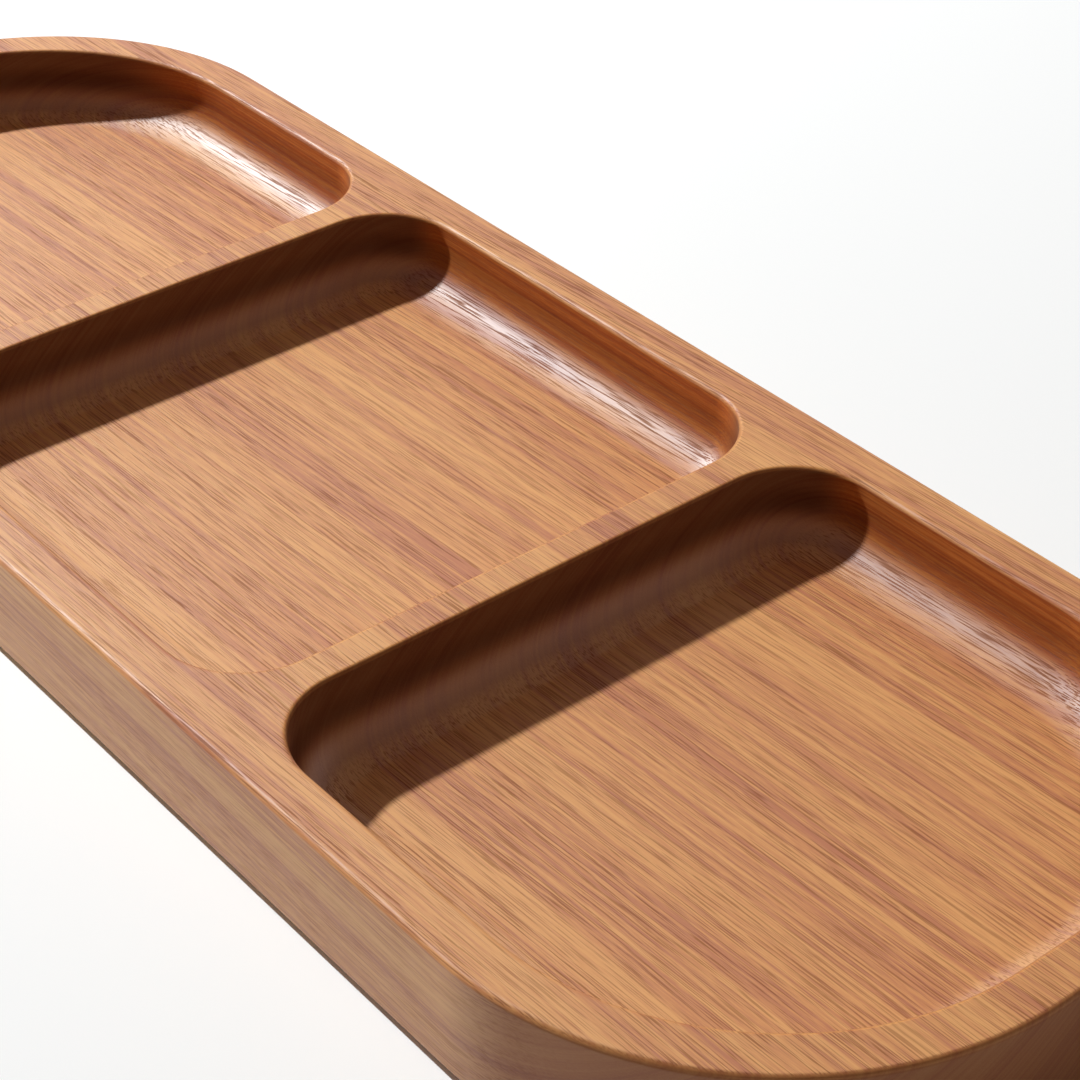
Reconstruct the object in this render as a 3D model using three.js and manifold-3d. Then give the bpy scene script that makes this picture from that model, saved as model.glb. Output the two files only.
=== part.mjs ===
// Divided serving tray: an edge-glued hardwood blank with three routed pockets, on four low non-slip feet.
// Millimetres, +Z up. The origin lies on the table under the middle of the tray, with +X along the
// tray and +Y across it. Front is -Y, back is +Y, left is -X and right is +X.

import * as THREE from 'three';
import { mergeVertices } from 'three/addons/utils/BufferGeometryUtils.js';
import Module from 'manifold-3d';

// Tray body
const TRAY_LENGTH = 404;
const TRAY_WIDTH = 150;
const TRAY_THICKNESS = 24;
const TRAY_CORNER_RADIUS = 67;
const OUTER_EDGE_ROUND = 1.2;

// Pockets, the dividers between them and the rim around them
const POCKET_COUNT = 3;
const RIM_WIDTH = 9.5;
const DIVIDER_WIDTH = 8;
const POCKET_DEPTH = 14.7;
const POCKET_CORNER_RADIUS = 17.5;
const COVE_RADIUS = 9;
const POCKET_EDGE_ROUND = 1;

// Staves of the blank, from front to back
const STAVE_NAMES = [
  'front_rim_stave',
  'front_floor_stave',
  'centre_stave',
  'back_floor_stave',
  'back_rim_stave',
];

// Feet and their seats in the underside
const FOOT_DIAMETER = 13;
const FOOT_THICKNESS = 2.6;
const FOOT_EDGE_ROUND = 0.6;
const FOOT_SEAT_DEPTH = 1.6;
const FOOT_SEAT_CLEARANCE = 0.3;
const FOOT_FROM_TRAY_END = 52;
const FOOT_FROM_TRAY_SIDE = 19;

// Facets: steps in the quarter turn of a corner, a cove, a rounded edge and a foot
const CORNER_STEPS = 12;
const COVE_STEPS = 6;
const EDGE_STEPS = 2;
const FOOT_STEPS = 8;

// Levels and places that follow from the sizes above
const UNDERSIDE_Z = FOOT_THICKNESS - FOOT_SEAT_DEPTH;
const TOP_Z = UNDERSIDE_Z + TRAY_THICKNESS;
const FLOOR_Z = TOP_Z - POCKET_DEPTH;
const POCKET_LENGTH =
  (TRAY_LENGTH - 2 * RIM_WIDTH - (POCKET_COUNT - 1) * DIVIDER_WIDTH) / POCKET_COUNT;
const POCKET_END_RADIUS = TRAY_CORNER_RADIUS - RIM_WIDTH;
const STAVE_WIDTH = TRAY_WIDTH / STAVE_NAMES.length;
const CUT_MARGIN = 5;

const wasm = await Module();
wasm.setup();

const wood = new THREE.MeshStandardMaterial({ name: 'hardwood', color: 0xc58d5f, roughness: 0.35, metalness: 0 });
const silicone = new THREE.MeshStandardMaterial({ name: 'silicone', color: 0x4a4540, roughness: 0.8, metalness: 0 });

// A closed geometry as a solid that can be joined and cut.
function toSolid(geometry) {
  geometry.deleteAttribute('normal');
  geometry.deleteAttribute('uv');
  const merged = mergeVertices(geometry);
  return new wasm.Manifold(new wasm.Mesh({
    numProp: 3,
    vertProperties: new Float32Array(merged.attributes.position.array),
    triVerts: new Uint32Array(merged.index.array),
  }));
}

// A solid as a geometry again.
function toGeometry(solid) {
  const mesh = solid.getMesh();
  const geometry = new THREE.BufferGeometry();
  geometry.setAttribute('position', new THREE.BufferAttribute(new Float32Array(mesh.vertProperties), 3));
  geometry.setIndex(new THREE.BufferAttribute(new Uint32Array(mesh.triVerts), 1));
  geometry.computeVertexNormals();
  return geometry;
}

// The points of a rectangle with rounded corners, anticlockwise, drawn in by an inset on all sides.
// The left and right ends each have a corner radius of their own.
function roundedOutline({ left, right, halfWidth, leftRadius, rightRadius }, inset) {
  const corners = [
    { x: right - rightRadius, y: rightRadius - halfWidth, radius: rightRadius, start: -Math.PI / 2 },
    { x: right - rightRadius, y: halfWidth - rightRadius, radius: rightRadius, start: 0 },
    { x: left + leftRadius, y: halfWidth - leftRadius, radius: leftRadius, start: Math.PI / 2 },
    { x: left + leftRadius, y: leftRadius - halfWidth, radius: leftRadius, start: Math.PI },
  ];
  return corners.flatMap(({ x, y, radius, start }) => {
    const arc = new THREE.EllipseCurve(x, y, radius - inset, radius - inset, start, start + Math.PI / 2);
    return arc.getPoints(CORNER_STEPS);
  });
}

// The points of a quarter circle in the plane of inset and height.
function quarterRound(inset, height, radius, startAngle, endAngle, steps) {
  const clockwise = endAngle < startAngle;
  return new THREE.EllipseCurve(inset, height, radius, radius, startAngle, endAngle, clockwise).getPoints(steps);
}

// A loft from the bottom up: one ring of the outline at each inset and height of the profile,
// closed by a flat face at both ends.
function loft(outline, profile) {
  const rings = profile.map(({ x: inset, y: height }) => ({ points: roundedOutline(outline, inset), height }));
  const ringSize = rings[0].points.length;
  const positions = rings.flatMap(({ points, height }) => points.flatMap(({ x, y }) => [x, y, height]));
  const indices = [];
  for (let ring = 0; ring < rings.length - 1; ring += 1) {
    for (let point = 0; point < ringSize; point += 1) {
      const a = ring * ringSize + point;
      const b = ring * ringSize + (point + 1) % ringSize;
      indices.push(a, b, b + ringSize, a, b + ringSize, a + ringSize);
    }
  }
  const lastRing = (rings.length - 1) * ringSize;
  for (const [a, b, c] of THREE.ShapeUtils.triangulateShape(rings[0].points, [])) {
    indices.push(a, c, b);
  }
  for (const [a, b, c] of THREE.ShapeUtils.triangulateShape(rings.at(-1).points, [])) {
    indices.push(lastRing + a, lastRing + b, lastRing + c);
  }
  const geometry = new THREE.BufferGeometry();
  geometry.setAttribute('position', new THREE.Float32BufferAttribute(positions, 3));
  geometry.setIndex(indices);
  return toSolid(geometry);
}

// The blank: the tray's outline, with its bottom and top edges rounded over.
function blank() {
  const outline = {
    left: -TRAY_LENGTH / 2,
    right: TRAY_LENGTH / 2,
    halfWidth: TRAY_WIDTH / 2,
    leftRadius: TRAY_CORNER_RADIUS,
    rightRadius: TRAY_CORNER_RADIUS,
  };
  const round = OUTER_EDGE_ROUND;
  return loft(outline, [
    ...quarterRound(round, UNDERSIDE_Z + round, round, -Math.PI / 2, -Math.PI, EDGE_STEPS),
    ...quarterRound(round, TOP_Z - round, round, Math.PI, Math.PI / 2, EDGE_STEPS),
  ]);
}

// The hollow that the router leaves for one pocket: a flat floor, a cove up to an upright wall, and a
// rounded mouth. At the tray's ends its corners run parallel to the tray's own round corners.
function pocketHollow(index) {
  const left = -TRAY_LENGTH / 2 + RIM_WIDTH + index * (POCKET_LENGTH + DIVIDER_WIDTH);
  const outline = {
    left,
    right: left + POCKET_LENGTH,
    halfWidth: TRAY_WIDTH / 2 - RIM_WIDTH,
    leftRadius: index === 0 ? POCKET_END_RADIUS : POCKET_CORNER_RADIUS,
    rightRadius: index === POCKET_COUNT - 1 ? POCKET_END_RADIUS : POCKET_CORNER_RADIUS,
  };
  const round = POCKET_EDGE_ROUND;
  return loft(outline, [
    ...quarterRound(COVE_RADIUS, FLOOR_Z + COVE_RADIUS, COVE_RADIUS, -Math.PI / 2, -Math.PI, COVE_STEPS),
    ...quarterRound(-round, TOP_Z - round, round, 0, Math.PI / 2, EDGE_STEPS),
    new THREE.Vector2(-round, TOP_Z + CUT_MARGIN),
  ]);
}

// The centres of the feet, with the name that each foot's place gives it.
function footPlaces() {
  const x = TRAY_LENGTH / 2 - FOOT_FROM_TRAY_END;
  const y = TRAY_WIDTH / 2 - FOOT_FROM_TRAY_SIDE;
  return [
    { name: 'foot_front_left', x: -x, y: -y },
    { name: 'foot_front_right', x, y: -y },
    { name: 'foot_back_left', x: -x, y },
    { name: 'foot_back_right', x, y },
  ];
}

// The round recess that a foot is glued into.
function footSeat({ x, y }) {
  const radius = FOOT_DIAMETER / 2 + FOOT_SEAT_CLEARANCE;
  const height = FOOT_SEAT_DEPTH + CUT_MARGIN;
  const seat = new THREE.CylinderGeometry(radius, radius, height, 4 * FOOT_STEPS);
  seat.rotateX(Math.PI / 2);
  seat.translate(x, y, UNDERSIDE_Z + FOOT_SEAT_DEPTH - height / 2);
  return toSolid(seat);
}

// A foot: a low turned disc, flat on the table and rounded at its lower edge.
function foot({ name, x, y }) {
  const radius = FOOT_DIAMETER / 2;
  const lowerEdge = quarterRound(
    radius - FOOT_EDGE_ROUND, FOOT_EDGE_ROUND, FOOT_EDGE_ROUND, -Math.PI / 2, 0, EDGE_STEPS + 1);
  const profile = [
    new THREE.Vector2(0, 0),
    ...lowerEdge,
    new THREE.Vector2(radius, FOOT_THICKNESS),
    new THREE.Vector2(0, FOOT_THICKNESS),
  ];
  const mesh = new THREE.Mesh(new THREE.LatheGeometry(profile, 4 * FOOT_STEPS), silicone);
  mesh.name = name;
  mesh.rotation.x = Math.PI / 2;
  mesh.position.set(x, y, 0);
  return mesh;
}

// The tray before it is told apart into staves: the blank with its pockets and foot seats cut.
function routedBlank() {
  let body = blank();
  for (let index = 0; index < POCKET_COUNT; index += 1) {
    body = body.subtract(pocketHollow(index));
  }
  for (const place of footPlaces()) {
    body = body.subtract(footSeat(place));
  }
  return body;
}

// One stave: the full-length strip of the routed blank between two glue lines.
function stave(body, name, index) {
  const strip = new THREE.BoxGeometry(
    TRAY_LENGTH + 2 * CUT_MARGIN, STAVE_WIDTH, TRAY_THICKNESS + 2 * CUT_MARGIN);
  const front = -TRAY_WIDTH / 2 + index * STAVE_WIDTH;
  strip.translate(0, front + STAVE_WIDTH / 2, UNDERSIDE_Z + TRAY_THICKNESS / 2);
  const mesh = new THREE.Mesh(toGeometry(body.intersect(toSolid(strip))), wood);
  mesh.name = name;
  return mesh;
}

const tray = new THREE.Group();
tray.name = 'divided_serving_tray';

const body = routedBlank();
STAVE_NAMES.forEach((name, index) => tray.add(stave(body, name, index)));
footPlaces().forEach((place) => tray.add(foot(place)));

export default tray;
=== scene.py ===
"""Divided serving tray in oiled hardwood, on four low non-slip feet, in a plain white studio.

The origin lies on the table under the middle of the tray, +X runs along the tray, +Y across it and +Z up,
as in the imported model. Lengths are metres, except in the wood's grain, where they are millimetres.
"""

import logging
import math
from dataclasses import dataclass, field
from enum import Enum
from functools import reduce

import bmesh
import bpy
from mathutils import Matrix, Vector


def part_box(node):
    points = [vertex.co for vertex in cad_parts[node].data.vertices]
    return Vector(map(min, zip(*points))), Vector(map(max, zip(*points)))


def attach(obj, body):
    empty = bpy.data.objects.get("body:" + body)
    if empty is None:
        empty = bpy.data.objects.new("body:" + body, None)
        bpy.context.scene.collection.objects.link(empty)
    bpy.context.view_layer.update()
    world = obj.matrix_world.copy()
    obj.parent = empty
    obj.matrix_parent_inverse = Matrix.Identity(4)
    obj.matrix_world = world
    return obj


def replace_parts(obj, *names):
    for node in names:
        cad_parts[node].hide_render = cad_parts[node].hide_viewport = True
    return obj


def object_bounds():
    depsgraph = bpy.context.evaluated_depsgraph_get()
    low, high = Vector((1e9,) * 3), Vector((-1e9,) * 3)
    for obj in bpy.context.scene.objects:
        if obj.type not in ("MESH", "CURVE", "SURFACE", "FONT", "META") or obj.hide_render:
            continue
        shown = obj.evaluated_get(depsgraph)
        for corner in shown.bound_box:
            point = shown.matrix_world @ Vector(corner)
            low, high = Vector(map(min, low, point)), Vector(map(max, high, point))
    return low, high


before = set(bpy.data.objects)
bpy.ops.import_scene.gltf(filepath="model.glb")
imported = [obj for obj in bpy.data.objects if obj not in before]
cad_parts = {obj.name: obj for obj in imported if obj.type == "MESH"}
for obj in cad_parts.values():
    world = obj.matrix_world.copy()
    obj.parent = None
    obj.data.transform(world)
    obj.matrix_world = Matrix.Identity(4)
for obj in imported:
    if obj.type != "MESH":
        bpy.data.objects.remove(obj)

LOG = logging.getLogger("divided_serving_tray")
MM = 0.001
BODY = "root"
ROUTED = "routed"
NOISE_MIDDLE = 0.5

CAD_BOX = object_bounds()

Point2 = tuple[float, float]
Point3 = tuple[float, float, float]
Span = tuple[float, float]
Colour = tuple[float, float, float]
Socket = bpy.types.NodeSocket
Number = Socket | float
Ring = list[bmesh.types.BMVert]


class Slot(Enum):
    """The record's material slots."""

    HARDWOOD = "hardwood"
    SILICONE = "silicone"


class Stave(Enum):
    """The staves of the blank, from front to back, by the node that each stands for."""

    FRONT_RIM = "front_rim_stave"
    FRONT_FLOOR = "front_floor_stave"
    CENTRE = "centre_stave"
    BACK_FLOOR = "back_floor_stave"
    BACK_RIM = "back_rim_stave"


class FootPlace(Enum):
    """The feet, by the node that each stands for."""

    FRONT_LEFT = "foot_front_left"
    FRONT_RIGHT = "foot_front_right"
    BACK_LEFT = "foot_back_left"
    BACK_RIGHT = "foot_back_right"


def linear(red: int, green: int, blue: int) -> Colour:
    """Turn a colour in screen values into the linear values that shaders take.

    Args:
        red: Red from 0 to 255.
        green: Green from 0 to 255.
        blue: Blue from 0 to 255.

    Returns:
        The three linear values, from 0 to 1.
    """

    def channel(value: int) -> float:
        """One channel, by the usual screen curve."""
        share = value / 255
        return share / 12.92 if share <= 0.04045 else ((share + 0.055) / 1.055) ** 2.4

    return channel(red), channel(green), channel(blue)


def arc(centre: Point2, radius: float, start: float, end: float, steps: int) -> list[Point2]:
    """Points along a circular arc.

    Args:
        centre: The circle's centre.
        radius: The circle's radius.
        start: Angle of the first point, in degrees.
        end: Angle of the last point, in degrees.
        steps: Number of equal steps.

    Returns:
        The points, one more than there are steps.
    """
    angles = [math.radians(start + (end - start) * step / steps) for step in range(steps + 1)]
    return [(centre[0] + radius * math.cos(a), centre[1] + radius * math.sin(a)) for a in angles]


def circle(centre: Vector, radius: float, steps: int) -> list[Point2]:
    """Return the points of a whole circle in plan, anticlockwise."""
    return arc((centre.x, centre.y), radius, 0, 360, steps)[:-1]


def ring_at(bm: bmesh.types.BMesh, points: list[Point2], height: float) -> Ring:
    """Add a ring of vertices to a mesh, all at one height, and return it."""
    return [bm.verts.new((x, y, height)) for x, y in points]


def join_rings(bm: bmesh.types.BMesh, rings: list[Ring]) -> None:
    """Join each ring of vertices to the next with a band of faces."""
    for lower, upper in zip(rings[:-1], rings[1:]):
        for index in range(len(lower)):
            after = (index + 1) % len(lower)
            bm.faces.new((lower[index], lower[after], upper[after], upper[index]))


def finished_piece(bm: bmesh.types.BMesh, name: str, node: str, sharp_angle: float) -> bpy.types.Object:
    """Turn a closed mesh into a smooth-shaded piece in the place of its node.

    Args:
        bm: The mesh, which is used up.
        name: The piece's name.
        node: The node that the piece stands for.
        sharp_angle: Turn above which an edge stays sharp, in radians.

    Returns:
        The piece, still without a material.
    """
    bmesh.ops.recalc_face_normals(bm, faces=bm.faces)
    for face in bm.faces:
        face.smooth = True
    mesh = bpy.data.meshes.new(name)
    bm.to_mesh(mesh)
    bm.free()
    mesh.set_sharp_from_angle(angle=sharp_angle)
    piece = bpy.data.objects.new(name, mesh)
    bpy.context.scene.collection.objects.link(piece)
    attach(piece, BODY)
    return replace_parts(piece, node)


class ShaderBench:
    """Adds and joins the nodes of one material or of the room."""

    def __init__(self, owner: bpy.types.Material | bpy.types.World) -> None:
        """Start with no nodes on a material or a world."""
        owner.use_nodes = True
        self.owner = owner
        self.tree = owner.node_tree
        self.tree.nodes.clear()

    def node(self, kind: str, inputs: dict | None = None, **settings: object) -> bpy.types.Node:
        """Add a node.

        Args:
            kind: Blender's name for the kind of node.
            inputs: Input name or index to a value or to the socket that feeds it.
            **settings: Values of the node's own properties.

        Returns:
            The new node.
        """
        made = self.tree.nodes.new(kind)
        for name, value in settings.items():
            setattr(made, name, value)
        for name, value in (inputs or {}).items():
            self._feed(made.inputs[name], value)
        return made

    def _feed(self, entry: Socket, value: Number | Colour) -> None:
        """Join a socket to a node's input, or give the input a number or a colour."""
        if isinstance(value, bpy.types.NodeSocket):
            self.tree.links.new(value, entry)
        elif entry.type == "RGBA":
            entry.default_value = (*value, 1.0)
        else:
            entry.default_value = value

    def math(self, operation: str, first: Number, second: Number = 0.0) -> Socket:
        """Add a sum of one or two numbers and return its result."""
        return self.node("ShaderNodeMath", {0: first, 1: second}, operation=operation).outputs[0]

    def product(self, *factors: Number) -> Socket:
        """Multiply numbers in turn."""
        return reduce(lambda left, right: self.math("MULTIPLY", left, right), factors)

    def total(self, *parts: Number) -> Socket:
        """Add up numbers in turn."""
        return reduce(lambda left, right: self.math("ADD", left, right), parts)

    def flipped(self, share: Socket) -> Socket:
        """Return what a share leaves of 1."""
        return self.math("SUBTRACT", 1.0, share)

    def ramp(self, value: Socket, span: Span, low: Number, high: Number, kind: str = "LINEAR") -> Socket:
        """Pass from one number to another.

        Args:
            value: What is followed.
            span: The value at which the ramp starts, and the one at which it ends.
            low: The result up to the span's start.
            high: The result from the span's end on.
            kind: Blender's name for the way of passing.

        Returns:
            The result.
        """
        inputs = {"Value": value, "From Min": span[0], "From Max": span[1], "To Min": low, "To Max": high}
        return self.node("ShaderNodeMapRange", inputs, interpolation_type=kind).outputs[0]

    def stretch(self, value: Socket, span: Span) -> Socket:
        """Return a number eased from 0 at the span's start to 1 at its end."""
        return self.ramp(value, span, 0.0, 1.0, "SMOOTHSTEP")

    def between(self, share: Socket, low: Number, high: Number) -> Socket:
        """Return a number that passes from low to high as the share goes from 0 to 1."""
        return self.ramp(share, (0.0, 1.0), low, high)

    def noise(self, vector: Socket, detail: float, roughness: float) -> Socket:
        """Return soft noise with one cell to each unit of the vector."""
        inputs = {"Vector": vector, "Scale": 1.0, "Detail": detail, "Roughness": roughness}
        return self.node("ShaderNodeTexNoise", inputs, noise_dimensions="3D").outputs[0]

    def place(self) -> Socket:
        """Return the place on the piece, in the model's frame."""
        return self.node("ShaderNodeTexCoord").outputs["Object"]

    def vector(self, x: Number, y: Number, z: Number) -> Socket:
        """Join three numbers into a vector."""
        return self.node("ShaderNodeCombineXYZ", {0: x, 1: y, 2: z}).outputs[0]

    def split(self, vector: Socket) -> tuple[Socket, Socket, Socket]:
        """Return a vector's three numbers."""
        parts = self.node("ShaderNodeSeparateXYZ", {0: vector}).outputs
        return parts[0], parts[1], parts[2]

    def scaled(self, vector: Socket, factor: float) -> Socket:
        """Return a vector times a number."""
        return self.node("ShaderNodeVectorMath", {0: vector, "Scale": factor}, operation="SCALE").outputs[0]

    def length(self, vector: Socket) -> Socket:
        """Return a vector's length."""
        return self.node("ShaderNodeVectorMath", {0: vector}, operation="LENGTH").outputs["Value"]

    def mix(self, share: Number, first: Socket | Colour, second: Socket | Colour,
            blend: str = "MIX") -> Socket:
        """Mix two colours.

        Args:
            share: How much of the second colour shows, from 0 to 1.
            first: The colour at 0.
            second: The colour at 1.
            blend: Blender's name for the way of mixing.

        Returns:
            The mixed colour.
        """
        made = self.node("ShaderNodeMix", data_type="RGBA", blend_type=blend)
        factor = next(s for s in made.inputs if s.type == "VALUE")
        colours = [s for s in made.inputs if s.type == "RGBA"]
        for entry, value in zip([factor, *colours], [share, first, second]):
            self._feed(entry, value)
        return next(s for s in made.outputs if s.type == "RGBA")

    def looked_at(self) -> Socket:
        """Return 1 for a ray from the camera, a reflection or a clear piece, and 0 for others."""
        path = self.node("ShaderNodeLightPath").outputs
        mirrored = self.math("MAXIMUM", path["Is Glossy Ray"], path["Is Transmission Ray"])
        return self.math("MAXIMUM", path["Is Camera Ray"], mirrored)

    def finish(self, shader: Socket) -> bpy.types.Material:
        """Join the shader to the material's output and return the material."""
        self.node("ShaderNodeOutputMaterial", {"Surface": shader})
        return self.owner


@dataclass(frozen=True)
class Grain:
    """Noise drawn out along the grain.

    Args:
        length: Length of one cell, in millimetres.
        width: Width and height of one cell, in millimetres.
        detail: Number of finer layers.
        roughness: Strength of each finer layer.
        level: Where the noise is sliced, if the pattern is the same at all heights.
        share: How much it counts in the wood's tone.
    """

    length: float
    width: float
    detail: float = 1.0
    roughness: float = 0.5
    level: float = 0.0
    share: float = 0.0

    def draw(self, bench: ShaderBench, x: Socket, across: Socket, up: Socket | None = None) -> Socket:
        """Draw the noise.

        Args:
            bench: The material's bench.
            x: Place along the grain, in millimetres.
            across: Place across the grain.
            up: Height in the grain, or none if the pattern is the same at all heights.

        Returns:
            The noise, from 0 to 1.
        """
        along = bench.math("DIVIDE", x, self.length)
        wide = bench.math("DIVIDE", across, self.width)
        high = self.level if up is None else bench.math("DIVIDE", up, self.width)
        return bench.noise(bench.vector(along, wide, high), self.detail, self.roughness)


@dataclass(frozen=True)
class Cuts:
    """How the wood is cut at the place that a shader looks at.

    Args:
        above: Height above the pockets' floor, in millimetres.
        routed: 1 where the bit has cut the pockets and 0 elsewhere.
        mouth: How much the place lies on the eased mouth of a pocket, from 0 to 1.
        edge: How much it lies on the eased outer edge at the top, from 0 to 1.
        facing: How much the surface faces along the grain, from 0 to 1.
        upright: How much it stands upright, from 0 to 1.
        end: How much it is end grain, darker under oil, and how much painted shade it takes, from 0 to 1.
    """

    above: Socket
    routed: Socket
    mouth: Socket
    edge: Socket
    facing: Socket
    upright: Socket
    end: Socket


@dataclass(frozen=True)
class CutFinder:
    """Tells apart the ways in which the wood is cut.

    Args:
        floor: Height of the pockets' floor, in millimetres.
        top: Height of the top face, in millimetres.
        eased_depth: Where the eased edges start and are in full, in millimetres below the top face.
        flattening: How far the surface faces up where it starts to lie, and where it lies.
        levelling: How far it faces up where it is nearly level, and where it is level.
        outer_end_and_shade: How far the outside faces along the grain where end grain and painted shade
            start and are in full.
        routed_end_and_shade: The same for a pocket's wall.
        eased_end_and_shade: How much end grain and painted shade an eased edge shows.
    """

    floor: float
    top: float
    eased_depth: Span = (1.1, 0.8)
    flattening: Span = (0.3, 0.8)
    levelling: Span = (0.90, 0.995)
    # The outside takes its end shade as soon as it turns from a long side: painted shade over darker end
    # grain.
    outer_end_and_shade: Span = (0.0, 0.25)
    routed_end_and_shade: Span = (0.15, 0.60)
    eased_end_and_shade: float = 0.6

    def find(self, bench: ShaderBench, z: Socket) -> Cuts:
        """Look at a place.

        Args:
            bench: The material's bench.
            z: Height, in millimetres.

        Returns:
            What the cut is like there.
        """
        lengthwise, _, upwards = bench.split(bench.node("ShaderNodeNewGeometry").outputs["Normal"])
        routed = bench.node("ShaderNodeAttribute", attribute_name=ROUTED).outputs["Fac"]
        start, full = self.eased_depth
        eased = bench.stretch(z, (self.top - start, self.top - full))
        upright = bench.flipped(bench.stretch(upwards, self.flattening))
        tilted = bench.flipped(bench.stretch(upwards, self.levelling))
        facing = bench.math("ABSOLUTE", lengthwise)
        # End grain is darker under oil; this mask also lays painted shade on eased mouths, the pockets' end
        # walls and the outside's turn to the ends.
        outer_end_and_shade = bench.stretch(facing, self.outer_end_and_shade)
        routed_end_and_shade = bench.stretch(facing, self.routed_end_and_shade)
        steep = bench.math("MAXIMUM", upright, bench.between(eased, 0.0, self.eased_end_and_shade))
        return Cuts(
            above=bench.math("SUBTRACT", z, self.floor),
            routed=routed,
            mouth=bench.product(routed, eased),
            edge=bench.product(bench.flipped(routed), eased, tilted),
            facing=facing,
            upright=upright,
            end=bench.product(bench.between(routed, outer_end_and_shade, routed_end_and_shade), steep),
        )


@dataclass(frozen=True)
class PaintedPocketShade:
    """Painted shade in the pockets: dark in each cove's hollow, warm and dark on the long walls above it.

    Spans with "above" in their names are heights over the pockets' floor, in millimetres. Those with
    "facing" say how far a wall faces along the grain, from 0 to 1.
    """

    # Painted shade colours: the first for each cove's hollow, the second for the long walls above it.
    painted_cove_shade: Colour = (0.58, 0.42, 0.34)
    painted_wall_shade: Colour = (0.94, 0.72, 0.60)
    cove_shade_starts_above: Span = (0.5, 1.5)
    cove_shade_grows_above: Span = (3.5, 6.0)
    cove_shade_ends_above: Span = (7.5, 11.5)
    first_cove_shade: float = 0.7
    cove_shade_fades_facing: Span = (0.75, 0.98)
    end_wall_cove_shade: float = 0.5
    wall_shade_starts_above: Span = (6.5, 10.5)
    wall_shade_ends_facing: Span = (0.3, 0.9)

    def over(self, bench: ShaderBench, cuts: Cuts, wood: Socket) -> Socket:
        """Lay the painted shade over the wood.

        Args:
            bench: The material's bench.
            cuts: What the cut is like.
            wood: The wood's own colour.

        Returns:
            The colour with the marks.
        """
        wall_shaded = bench.mix(self._wall_shade_amount(bench, cuts), wood, self.painted_wall_shade, "MULTIPLY")
        return bench.mix(self._cove_shade_amount(bench, cuts), wall_shaded, self.painted_cove_shade, "MULTIPLY")

    def _cove_shade_amount(self, bench: ShaderBench, cuts: Cuts) -> Socket:
        """Return how much painted shade the cove takes: most in the hollow, and not at the wall's top."""
        cove = bench.stretch(cuts.above, self.cove_shade_starts_above)
        hollow = bench.between(bench.stretch(cuts.above, self.cove_shade_grows_above), self.first_cove_shade, 1.0)
        below_top = bench.flipped(bench.stretch(cuts.above, self.cove_shade_ends_above))
        along = bench.between(bench.stretch(cuts.facing, self.cove_shade_fades_facing), 1.0, self.end_wall_cove_shade)
        return bench.product(cuts.routed, cove, hollow, below_top, along)

    def _wall_shade_amount(self, bench: ShaderBench, cuts: Cuts) -> Socket:
        """Return how much warm painted shade a long wall takes: above the hollow and up to the mouth."""
        wall = bench.stretch(cuts.above, self.wall_shade_starts_above)
        along = bench.flipped(bench.stretch(cuts.facing, self.wall_shade_ends_facing))
        return bench.product(cuts.routed, wall, bench.flipped(cuts.mouth), along)


@dataclass(frozen=True)
class OilSheen:
    """The clear satin oil, and how strongly it shines on each kind of cut.

    The bit has polished the foot of each cove and left the wall above it dull. Spans with "above" in their
    names are heights over the pockets' floor, in millimetres. Those with "facing" say how far a wall faces
    along the grain, from 0 to 1.
    """

    index: float = 1.75
    tint: Colour = (0.80, 0.94, 1.0)
    roughness: float = 0.53
    pore_roughness: float = 0.68
    flat: float = 0.53
    side: float = 0.72
    foot: float = 0.85
    wall: float = 0.05
    mouth: float = 0.45
    end_mouth: float = 0.12
    edge: float = 0.34
    pore: float = 0.20
    end_share: float = 0.21
    outer_end_share: float = 0.35
    cove_starts_above: Span = (0.0, 0.15)
    dull_above: Span = (0.7, 5.3)
    end_facing: Span = (0.15, 0.60)
    end_dulling: float = 0.85
    end_mouth_facing: Span = (0.03, 0.30)

    def level(self, bench: ShaderBench, cuts: Cuts, pores: Socket) -> Socket:
        """Find the strength of the sheen.

        Args:
            bench: The material's bench.
            cuts: What the cut is like.
            pores: How much of an open pore shows.

        Returns:
            The sheen's level, from 0 to 1.
        """
        kept = bench.between(bench.stretch(cuts.facing, self.end_facing), 1.0, self.end_dulling)
        dulled = bench.product(bench.stretch(cuts.above, self.dull_above), kept)
        cove = bench.between(dulled, self.foot, self.wall)
        in_cove = bench.product(cuts.routed, bench.stretch(cuts.above, self.cove_starts_above))
        plain = bench.between(cuts.upright, self.flat, self.side)
        routed = bench.between(in_cove, plain, cove)
        lip = bench.between(bench.stretch(cuts.facing, self.end_mouth_facing), self.mouth, self.end_mouth)
        eased = bench.between(cuts.mouth, routed, lip)
        edged = bench.between(cuts.edge, eased, self.edge)
        pored = bench.between(pores, edged, self.pore)
        end_share = bench.between(cuts.routed, self.outer_end_share, self.end_share)
        return bench.product(pored, bench.between(cuts.end, 1.0, end_share))


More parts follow.
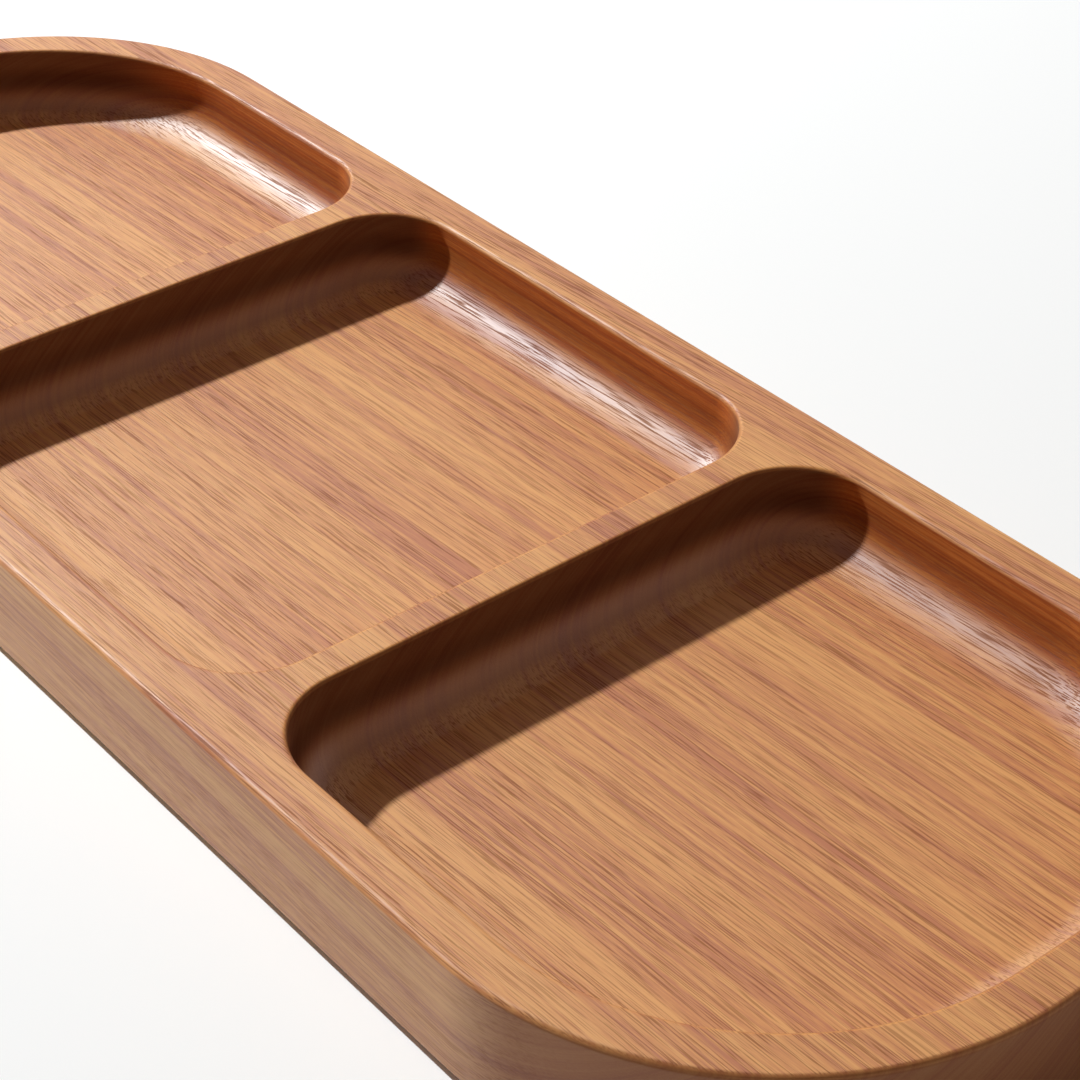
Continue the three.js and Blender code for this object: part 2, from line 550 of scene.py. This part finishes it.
@dataclass(frozen=True)
class HardwoodFinish:
    """Straight-grained warm brown hardwood under a clear satin oil.

    Its growth bands follow rings round a heart outside the plank. Lengths in the grain are millimetres,
    and spans are levels of the noises that draw it, unless their names say otherwise.
    """

    finder: CutFinder
    # Painted shade in the pockets' coves and on their long walls.
    pocket_shade: PaintedPocketShade = PaintedPocketShade()
    oil: OilSheen = OilSheen()
    golden: Colour = linear(212, 153, 87)
    brown: Colour = linear(198, 133, 73)
    russet: Colour = linear(176, 106, 64)
    pore: Colour = linear(110, 58, 33)
    # End grain is darker under oil; these shades also paint shade on the pockets' end walls, the eased
    # mouths and the outside's turn to the ends.
    end_grain_and_shade: Colour = (0.41, 0.45, 0.78)
    outer_end_grain_and_shade: Colour = (0.57, 0.49, 0.55)
    grain_slope: float = 0.028
    heart_y: float = 150.0
    heart_z: float = -170.0
    bend: Grain = Grain(170.0, 40.0, roughness=0.4)
    bend_across: float = 5.0
    bend_up: float = 0.4
    cloud: Grain = Grain(260.0, 20.0, share=0.16)
    band: Grain = Grain(300.0, 4.7, detail=2.0, level=3.7, share=0.30)
    streak: Grain = Grain(110.0, 0.62, detail=2.0, roughness=0.55, level=7.3, share=0.39)
    fibre: Grain = Grain(3.2, 0.22, share=0.15)
    line: Grain = Grain(13.0, 0.27)
    brown_tones: Span = (0.38, 0.52)
    golden_tones: Span = (0.46, 0.60)
    end_tones: Span = (0.25, 0.75)
    end_facing: Span = (0.10, 0.45)
    dash_starts: Span = (0.50, 0.64)
    dash_breaks: Span = (0.18, 0.46)
    light_bands: Span = (0.35, 0.65)
    light_band_pores: float = 0.7
    side_pores: float = 0.5
    end_pores: float = 0.1
    pore_strength: float = 0.60
    pore_depth: float = 0.06 * MM
    fibre_height: float = 0.8
    bump_strength: float = 0.5

    def material(self) -> bpy.types.Material:
        """Make the wood's shader.

        Returns:
            The material, with its grain along X in the model's frame.
        """
        bench = ShaderBench(bpy.data.materials.new("oiled_hardwood"))
        x, y, z = bench.split(bench.scaled(bench.place(), 1 / MM))
        across, up = self._bent(bench, x, y, z)
        ring = self._ring(bench, across, up)
        band = self.band.draw(bench, x, ring)
        fibre = self.fibre.draw(bench, x, across, up)
        cuts = self.finder.find(bench, z)
        pores = self._pores(bench, band, self.line.draw(bench, x, across, up), fibre, cuts)

        tone = bench.total(
            bench.product(self.cloud.draw(bench, x, ring), self.cloud.share),
            bench.product(band, self.band.share),
            bench.product(self.streak.draw(bench, x, ring), self.streak.share),
            bench.product(fibre, self.fibre.share),
        )
        plain = self._colour(bench, tone, cuts)
        pored = bench.mix(bench.product(pores, self.pore_strength), plain, self.pore)
        # End grain and painted shade together.
        shade = bench.mix(cuts.routed, self.outer_end_grain_and_shade, self.end_grain_and_shade)
        end_shaded = bench.mix(cuts.end, pored, shade, "MULTIPLY")
        bump = bench.node("ShaderNodeBump", {
            "Strength": self.bump_strength,
            "Distance": self.pore_depth,
            "Height": bench.math("SUBTRACT", bench.product(fibre, self.fibre_height), pores),
        })
        shader = bench.node("ShaderNodeBsdfPrincipled", {
            "Base Color": self.pocket_shade.over(bench, cuts, end_shaded),
            "Roughness": bench.between(pores, self.oil.roughness, self.oil.pore_roughness),
            "Normal": bump.outputs[0],
            "IOR": self.oil.index,
            "Specular IOR Level": self.oil.level(bench, cuts, pores),
            "Specular Tint": self.oil.tint,
        })
        return bench.finish(shader.outputs[0])

    def _bent(self, bench: ShaderBench, x: Socket, y: Socket, z: Socket) -> tuple[Socket, Socket]:
        """Shear and bend the plank's width and height so that the grain isn't dead straight.

        Args:
            bench: The material's bench.
            x: Place along the tray, in millimetres.
            y: Place across the tray.
            z: Height.

        Returns:
            The place across the grain and the height in the grain.
        """
        swing = bench.math("SUBTRACT", self.bend.draw(bench, x, y, z), NOISE_MIDDLE)
        shift = bench.product(swing, self.bend_across)
        across = bench.total(y, bench.product(x, -self.grain_slope), shift)
        return across, bench.total(z, bench.product(shift, self.bend_up))

    def _ring(self, bench: ShaderBench, across: Socket, up: Socket) -> Socket:
        """Return the distance from the heart of the tree, which the growth bands follow."""
        sideways = bench.math("SUBTRACT", across, self.heart_y)
        upwards = bench.math("SUBTRACT", up, self.heart_z)
        return bench.length(bench.vector(sideways, upwards, 0.0))

    def _pores(self, bench: ShaderBench, band: Socket, line: Socket, fibre: Socket, cuts: Cuts) -> Socket:
        """Draw dark dashes along the grain: closer in the dark bands, and fainter on sides and ends.

        Args:
            bench: The material's bench.
            band: The growth bands.
            line: The noise that draws the dashes.
            fibre: The noise that breaks them up.
            cuts: What the cut is like.

        Returns:
            How much of an open pore shows, from 0 to 1.
        """
        dashes = bench.stretch(line, self.dash_starts)
        broken = bench.stretch(fibre, self.dash_breaks)
        closer = bench.between(bench.stretch(band, self.light_bands), 1.0, self.light_band_pores)
        off_end = bench.between(bench.stretch(cuts.facing, self.end_facing), 1.0, self.end_pores)
        off_side = bench.between(cuts.upright, 1.0, self.side_pores)
        return bench.product(dashes, broken, closer, off_end, off_side)

    def _colour(self, bench: ShaderBench, tone: Socket, cuts: Cuts) -> Socket:
        """Mix the wood's colour between its pores.

        Args:
            bench: The material's bench.
            tone: How light the wood is, from 0 to 1.
            cuts: What the cut is like.

        Returns:
            The colour, which varies less on end grain.
        """
        calm = bench.between(tone, *self.end_tones)
        shown = bench.between(bench.stretch(cuts.facing, self.end_facing), tone, calm)
        dark = bench.mix(bench.stretch(shown, self.brown_tones), self.russet, self.brown)
        return bench.mix(bench.stretch(shown, self.golden_tones), dark, self.golden)


@dataclass(frozen=True)
class SiliconeFinish:
    """Dark soft silicone, matt, with a fine moulded texture."""

    colour: Colour = linear(74, 69, 64)
    dusty: Colour = linear(96, 91, 85)
    dusty_clouds: Span = (0.4, 0.75)
    roughness: Span = (0.6, 0.8)
    cloud_size: float = 4 * MM
    texture_size: float = 0.25 * MM
    texture_depth: float = 0.03 * MM
    bump_strength: float = 0.4
    noise_detail: float = 2.0
    noise_roughness: float = 0.5

    def material(self) -> bpy.types.Material:
        """Make the feet's shader and return the material."""
        bench = ShaderBench(bpy.data.materials.new("soft_silicone"))
        place = bench.place()
        fine = self._noise(bench, place, self.texture_size)
        cloud = self._noise(bench, place, self.cloud_size)
        bump = bench.node("ShaderNodeBump", {
            "Strength": self.bump_strength,
            "Distance": self.texture_depth,
            "Height": fine,
        })
        shader = bench.node("ShaderNodeBsdfPrincipled", {
            "Base Color": bench.mix(bench.stretch(cloud, self.dusty_clouds), self.colour, self.dusty),
            "Roughness": bench.between(cloud, *self.roughness),
            "Normal": bump.outputs[0],
        })
        return bench.finish(shader.outputs[0])

    def _noise(self, bench: ShaderBench, place: Socket, size: float) -> Socket:
        """Return noise with cells of one size."""
        return bench.noise(bench.scaled(place, 1 / size), self.noise_detail, self.noise_roughness)


@dataclass(frozen=True)
class StudioFloorFinish:
    """A plain white table that looks white far off too, and that keeps the tray's shadow."""

    white: Colour = (0.875, 0.933, 0.955)
    glow: float = 0.02
    far_glow: float = 1.0
    glow_distances: Span = (0.35, 1.3)

    def material(self) -> bpy.types.Material:
        """Make the table's shader and return the material."""
        bench = ShaderBench(bpy.data.materials.new("white_table"))
        paint = bench.node("ShaderNodeBsdfDiffuse", {"Color": self.white}).outputs[0]
        level = bench.ramp(bench.length(bench.place()), self.glow_distances, self.glow, self.far_glow)
        strength = bench.product(bench.looked_at(), level)
        lift = bench.node("ShaderNodeEmission", {"Strength": strength}).outputs[0]
        return bench.finish(bench.node("ShaderNodeAddShader", {0: paint, 1: lift}).outputs[0])


@dataclass(frozen=True)
class RoundedRectangle:
    """A plan outline: its two ends, half its width, and the corner radius at each end."""

    left: float
    right: float
    half_width: float
    left_radius: float
    right_radius: float
    corner_steps: int = 36

    def ring(self, inset: float) -> list[Point2]:
        """Return the outline's points, anticlockwise, drawn in by an inset on all sides."""
        near, far = self.right - self.right_radius, self.left + self.left_radius
        right_y, left_y = self.half_width - self.right_radius, self.half_width - self.left_radius
        corners = [
            ((near, -right_y), self.right_radius, -90),
            ((near, right_y), self.right_radius, 0),
            ((far, left_y), self.left_radius, 90),
            ((far, -left_y), self.left_radius, 180),
        ]
        points: list[Point2] = []
        for centre, radius, start in corners:
            points += arc(centre, radius - inset, start, start + 90, self.corner_steps)
        return points


@dataclass
class RoutedBlank:
    """The tray's wooden body: an edge-glued blank with three coved pockets, told apart into staves.

    Each cove is a round hollow down to the foot's slope, in degrees. From there on sanding has let it fade
    out over the floor, with a wider round.
    """

    length: float = CAD_BOX[1].x - CAD_BOX[0].x
    width: float = CAD_BOX[1].y - CAD_BOX[0].y
    underside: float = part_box(Stave.CENTRE.value)[0].z
    top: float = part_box(Stave.CENTRE.value)[1].z
    corner_radius: float = 67 * MM
    rim: float = 9.5 * MM
    divider: float = 8 * MM
    pockets: int = 3
    pocket_depth: float = 14.7 * MM
    pocket_corner: float = 17.5 * MM
    cove: float = 9 * MM
    foot_radius: float = 18 * MM
    foot_slope: float = 20.0
    outer_round: float = 1.2 * MM
    mouth_round: float = 1.0 * MM
    seat_clearance: float = 0.3 * MM
    flat_margin: float = 0.25 * MM
    cut_tolerance: float = 1e-7
    round_steps: int = 8
    cove_steps: int = 18
    foot_steps: int = 8
    seat_steps: int = 64
    sharp_angle: float = math.radians(35)
    pieces: list[bpy.types.Object] = field(default_factory=list)

    def build(self) -> None:
        """Model the whole body and cut it along the glue lines into one piece for each stave."""
        whole = self._whole()
        for stave in Stave:
            self.pieces.append(self._stave_piece(whole, stave))
        whole.free()

    def dress(self, finish: HardwoodFinish) -> None:
        """Give every stave the wood's material.

        Args:
            finish: The wood.
        """
        material = finish.material()
        for piece in self.pieces:
            piece.data.materials.append(material)

    def cut_finder(self) -> CutFinder:
        """Return what tells the wood's cuts apart at this body's heights."""
        return CutFinder(floor=(self.top - self.pocket_depth) / MM, top=self.top / MM)

    def _outer_outline(self) -> RoundedRectangle:
        """Return the tray's plan outline."""
        half = self.length / 2
        return RoundedRectangle(-half, half, self.width / 2, self.corner_radius, self.corner_radius)

    def _pocket_outline(self, index: int) -> RoundedRectangle:
        """Return a pocket's plan outline at its wall.

        Args:
            index: The pocket's number, from the left end.

        Returns:
            The outline, whose corners at the tray's ends run parallel to the tray's own.
        """
        room = self.length - 2 * self.rim - (self.pockets - 1) * self.divider
        pocket_length = room / self.pockets
        left = -self.length / 2 + self.rim + index * (pocket_length + self.divider)
        end_radius = self.corner_radius - self.rim
        return RoundedRectangle(
            left,
            left + pocket_length,
            self.width / 2 - self.rim,
            end_radius if index == 0 else self.pocket_corner,
            end_radius if index == self.pockets - 1 else self.pocket_corner,
        )

    def _outer_profile(self) -> list[Point2]:
        """Return inset and height up the tray's outside, from the underside to the top face."""
        r, low, high = self.outer_round, self.underside, self.top
        return [
            (r + self.flat_margin, low),
            *arc((r, low + r), r, -90, -180, self.round_steps),
            *arc((r, high - r), r, 180, 90, self.round_steps),
            (r + self.flat_margin, high),
        ]

    def _pocket_profile(self) -> list[Point2]:
        """Return inset and height down a pocket's wall, from the top face to the floor."""
        r, c, floor = self.mouth_round, self.cove, self.top - self.pocket_depth
        slope = math.radians(self.foot_slope)
        wider = self.foot_radius - c
        foot = (c + wider * math.sin(slope), floor + self.foot_radius)
        hollow = (c, foot[1] - wider * math.cos(slope))
        meeting = 270 - self.foot_slope
        return [
            (-r - self.flat_margin, self.top),
            *arc((-r, self.top - r), r, 90, 0, self.round_steps),
            *arc(hollow, c, 180, meeting, self.cove_steps),
            *arc(foot, self.foot_radius, meeting, 270, self.foot_steps)[1:],
            (foot[0] + self.flat_margin, floor),
        ]

    @staticmethod
    def _loft(bm: bmesh.types.BMesh, outline: RoundedRectangle, profile: list[Point2]) -> list[Ring]:
        """Join rings of an outline along a profile.

        Args:
            bm: The mesh to add to.
            outline: The plan outline.
            profile: Inset and height of each ring.

        Returns:
            The rings of vertices, in the profile's order.
        """
        rings = [ring_at(bm, outline.ring(inset), height) for inset, height in profile]
        join_rings(bm, rings)
        return rings

    @staticmethod
    def _ring_edges(bm: bmesh.types.BMesh, ring: Ring) -> list[bmesh.types.BMEdge]:
        """Return the edges that join a ring's vertices in turn."""
        return [bm.edges.get((a, b)) for a, b in zip(ring, ring[1:] + ring[:1])]

    def _seat(self, bm: bmesh.types.BMesh, place: FootPlace) -> Ring:
        """Sink a foot's round seat into the underside.

        Args:
            bm: The mesh to add to.
            place: Which foot.

        Returns:
            The ring of vertices at the seat's mouth.
        """
        low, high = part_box(place.value)
        radius = (high.x - low.x) / 2 + self.seat_clearance
        points = circle((low + high) / 2, radius, self.seat_steps)
        mouth = ring_at(bm, points, self.underside)
        back = ring_at(bm, points, high.z)
        join_rings(bm, [mouth, back])
        bm.faces.new(back)
        return mouth

    def _whole(self) -> bmesh.types.BMesh:
        """Model the body in one: outside, pockets, foot seats, top face and underside."""
        bm = bmesh.new()
        routed = bm.faces.layers.float.new(ROUTED)
        outside = self._loft(bm, self._outer_outline(), self._outer_profile())
        top_rings, low_rings = [outside[-1]], [outside[0]]
        for index in range(self.pockets):
            before = len(bm.faces)
            wall = self._loft(bm, self._pocket_outline(index), self._pocket_profile())
            top_rings.append(wall[0])
            bm.faces.new(wall[-1])
            bm.faces.ensure_lookup_table()
            for face in bm.faces[before:]:
                face[routed] = 1.0
        low_rings += [self._seat(bm, place) for place in FootPlace]
        for rings in (top_rings, low_rings):
            edges = [edge for ring in rings for edge in self._ring_edges(bm, ring)]
            bmesh.ops.triangle_fill(bm, use_beauty=True, edges=edges)
        bmesh.ops.recalc_face_normals(bm, faces=bm.faces)
        return bm

    def _stave_piece(self, whole: bmesh.types.BMesh, stave: Stave) -> bpy.types.Object:
        """Cut one stave out of the whole body.

        Args:
            whole: The whole body's mesh, which is left as it is.
            stave: Which stave.

        Returns:
            The finished piece, in the place of its node.
        """
        low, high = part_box(stave.value)
        bm = whole.copy()
        for line, outwards in ((low.y, -1), (high.y, 1)):
            if abs(line) < self.width / 2 - self.flat_margin:
                self._cut(bm, line, outwards)
        return finished_piece(bm, f"{stave.value}_wood", stave.value, self.sharp_angle)

    def _cut(self, bm: bmesh.types.BMesh, line: float, outwards: int) -> None:
        """Take away what lies past a glue line and close the cut with the glued face.

        Args:
            bm: The mesh to cut.
            line: Where the glue line lies across the tray.
            outwards: 1 to take away what lies towards the back, -1 what lies towards the front.
        """
        bmesh.ops.bisect_plane(
            bm, geom=[*bm.verts, *bm.edges, *bm.faces], dist=self.cut_tolerance, plane_co=(0, line, 0),
            plane_no=(0, outwards, 0), clear_outer=True)
        rims = [edge for edge in bm.edges if edge.is_boundary]
        bmesh.ops.triangle_fill(bm, use_beauty=True, edges=rims, normal=(0, outwards, 0))


@dataclass
class Feet:
    """The four turned silicone feet."""

    edge_round: float = 0.6 * MM
    edge_steps: int = 6
    turn_steps: int = 72
    sharp_angle: float = math.radians(40)
    pieces: list[bpy.types.Object] = field(default_factory=list)

    def build(self) -> None:
        """Turn one foot for each place."""
        for place in FootPlace:
            self.pieces.append(self._foot(place))

    def dress(self, finish: SiliconeFinish) -> None:
        """Give every foot the silicone's material.

        Args:
            finish: The silicone.
        """
        material = finish.material()
        for piece in self.pieces:
            piece.data.materials.append(material)

    def _foot(self, place: FootPlace) -> bpy.types.Object:
        """Turn one foot and return it, in the place of its node."""
        low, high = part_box(place.value)
        middle = (low + high) / 2
        radius = (high.x - low.x) / 2
        r = self.edge_round
        profile = [
            (radius - 2 * r, low.z),
            *arc((radius - r, low.z + r), r, -90, 0, self.edge_steps),
            (radius, high.z),
        ]
        bm = bmesh.new()
        rings = [ring_at(bm, circle(middle, size, self.turn_steps), height) for size, height in profile]
        join_rings(bm, rings)
        bm.faces.new(rings[0][::-1])
        bm.faces.new(rings[-1])
        return finished_piece(bm, f"{place.value}_pad", place.value, self.sharp_angle)


@dataclass
class Studio:
    """White table, one small lamp, a soft white room, and the camera at the photograph's angle.

    The room has one set of levels for what is seen of it, directly or in a reflection, and one for the
    soft fill that it gives.
    """

    table_size: float = 8.0
    lamp_place: Point3 = (-2.05, -0.26, 1.628)
    lamp_size: float = 0.123
    lamp_power: float = 101.0
    seen_colour: Colour = (1.0, 1.0, 1.0)
    wall_seen: float = 1.4
    ceiling_seen: float = 0.10
    fill_colour: Colour = (1.0, 0.66, 0.50)
    wall_fill: float = 0.03
    ceiling_fill: float = 0.23
    wall_top: float = math.radians(18)
    ceiling_start: float = math.radians(50)
    view_azimuth: float = math.radians(50.63)
    view_elevation: float = math.radians(35.76)
    view_distance: float = 526.9 * MM
    view_target: Point3 = (35.0 * MM, 27.1 * MM, 1.0 * MM)
    lens: float = 87.15
    sensor: float = 36.0
    clip_start: float = 10 * MM

    def build(self) -> None:
        """Set up the table, the lamp, the room and the camera."""
        self._table()
        self._lamp()
        self._room()
        self._camera()
        bpy.context.scene.view_settings.view_transform = "Standard"

    def _table(self) -> None:
        """Lay the white table under the feet."""
        half = self.table_size / 2
        mesh = bpy.data.meshes.new("table")
        corners = [(-half, -half, 0), (half, -half, 0), (half, half, 0), (-half, half, 0)]
        mesh.from_pydata(corners, [], [(0, 1, 2, 3)])
        mesh.materials.append(StudioFloorFinish().material())
        table = bpy.data.objects.new("table", mesh)
        bpy.context.scene.collection.objects.link(table)

    def _lamp(self) -> None:
        """Hang the one lamp, beyond the tray's left end."""
        data = bpy.data.lights.new("lamp", "AREA")
        data.shape = "DISK"
        data.size = self.lamp_size
        data.energy = self.lamp_power
        lamp = bpy.data.objects.new("lamp", data)
        lamp.location = self.lamp_place
        lamp.rotation_mode = "QUATERNION"
        lamp.rotation_quaternion = (-lamp.location).to_track_quat("-Z", "Y")
        bpy.context.scene.collection.objects.link(lamp)

    def _room(self) -> None:
        """Make the room's walls white to look at and in reflections, and a soft warm fill elsewhere."""
        world = bpy.data.worlds.new("white_room")
        bench = ShaderBench(world)
        direction = bench.node("ShaderNodeTexCoord").outputs["Generated"]
        _, _, height = bench.split(direction)
        rise = (math.sin(self.wall_top), math.sin(self.ceiling_start))
        fill_level = bench.ramp(height, rise, self.wall_fill, self.ceiling_fill, "SMOOTHSTEP")
        seen_level = bench.ramp(height, rise, self.wall_seen, self.ceiling_seen, "SMOOTHSTEP")
        fill = bench.node("ShaderNodeBackground", {"Color": self.fill_colour, "Strength": fill_level})
        seen = bench.node("ShaderNodeBackground", {"Color": self.seen_colour, "Strength": seen_level})
        choice = {0: bench.looked_at(), 1: fill.outputs[0], 2: seen.outputs[0]}
        both = bench.node("ShaderNodeMixShader", choice)
        bench.node("ShaderNodeOutputWorld", {"Surface": both.outputs[0]})
        bpy.context.scene.world = world

    def _camera(self) -> None:
        """Place the camera as the photograph's was."""
        across = math.cos(self.view_elevation)
        back = Vector((
            math.sin(self.view_azimuth) * across,
            -math.cos(self.view_azimuth) * across,
            math.sin(self.view_elevation),
        ))
        data = bpy.data.cameras.new("camera")
        data.lens = self.lens
        data.sensor_width = self.sensor
        data.clip_start = self.clip_start
        camera = bpy.data.objects.new("camera", data)
        camera.location = Vector(self.view_target) + back * self.view_distance
        camera.rotation_mode = "QUATERNION"
        camera.rotation_quaternion = (-back).to_track_quat("-Z", "Y")
        bpy.context.scene.collection.objects.link(camera)
        bpy.context.scene.camera = camera


def main() -> None:
    """Build the studio and the tray's pieces in order, and report each piece."""
    logging.basicConfig(level=logging.INFO, format="%(message)s")
    Studio().build()
    body = RoutedBlank()
    body.build()
    body.dress(HardwoodFinish(body.cut_finder()))
    feet = Feet()
    feet.build()
    feet.dress(SiliconeFinish())
    for piece in [*body.pieces, *feet.pieces]:
        LOG.info("%s: %d faces", piece.name, len(piece.data.polygons))


if __name__ == "__main__":
    main()
